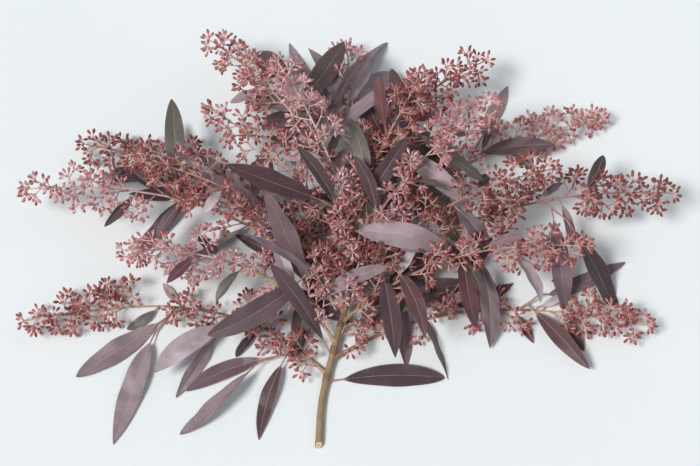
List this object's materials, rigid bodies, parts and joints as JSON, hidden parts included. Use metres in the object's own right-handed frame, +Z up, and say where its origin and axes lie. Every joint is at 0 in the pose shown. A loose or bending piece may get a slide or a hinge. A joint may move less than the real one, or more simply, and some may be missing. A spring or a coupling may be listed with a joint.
{
  "type": "eucalyptus gum nut sprig",
  "caption": "Forked cut sprig of eucalyptus lying flat, with narrow pointed leaves and airy sprays of stalked, club-shaped gum nuts in dusky pink.",
  "frame": {"origin": "on the table, under the middle of the sprig's bounding box", "axes": "+X across the fan of twigs, to the right when the cut end is nearest; +Y along the stem from its cut end to its tips; +Z up from the table"},
  "size_m": [0.5552, 0.3788, 0.1123],
  "materials": {
    "twig_wood": "matte, finely streaked young bark, pinkish tan to grey",
    "leaf": "leathery satin leaf, dusky mauve, paler beneath",
    "gum_nut": "matte, powdery dusky pink to brick red"
  },
  "bodies": {
    "root": {"leaf_36": "leaf", "leaf_37": "leaf", "leaf_38": "leaf", "leaf_39": "leaf", "leaf_40": "leaf", "leaf_41": "leaf", "leafy_shoot_01": "leaf", "leafy_shoot_02": "leaf", "leafy_shoot_03": "leaf", "leafy_shoot_04": "leaf", "leafy_shoot_05": "leaf", "leafy_shoot_06": "leaf", "leafy_shoot_07": "leaf", "leafy_shoot_08": "leaf", "leafy_shoot_09": "leaf", "leafy_shoot_10": "leaf", "leafy_shoot_11": "leaf", "leafy_shoot_12": "leaf", "leafy_shoot_13": "leaf", "leafy_shoot_14": "leaf", "leafy_shoot_15": "leaf", "leafy_shoot_16": "leaf", "leafy_shoot_17": "leaf", "leafy_shoot_18": "leaf", "leafy_shoot_19": "leaf", "leafy_shoot_20": "leaf", "leafy_shoot_21": "leaf", "leafy_shoot_22": "leaf", "leafy_shoot_23": "leaf", "leafy_shoot_24": "leaf", "leafy_shoot_25": "leaf", "leafy_shoot_26": "leaf", "leafy_shoot_27": "leaf", "leafy_shoot_28": "leaf", "leafy_shoot_29": "leaf", "leafy_shoot_30": "leaf", "leafy_shoot_31": "leaf", "leafy_shoot_32": "leaf", "leafy_shoot_33": "leaf", "leafy_shoot_34": "leaf", "leafy_shoot_35": "leaf", "nut_spray_01": "gum_nut", "nut_spray_02": "gum_nut", "nut_spray_03": "gum_nut", "nut_spray_04": "gum_nut", "nut_spray_05": "gum_nut", "nut_spray_06": "gum_nut", "nut_spray_07": "gum_nut", "nut_spray_08": "gum_nut", "nut_spray_09": "gum_nut", "nut_spray_10": "gum_nut", "nut_spray_11": "gum_nut", "nut_spray_12": "gum_nut", "nut_spray_13": "gum_nut", "nut_spray_14": "gum_nut", "nut_spray_15": "gum_nut", "nut_spray_16": "gum_nut", "nut_spray_17": "gum_nut", "stem": "twig_wood"}
  },
  "joints": []
}
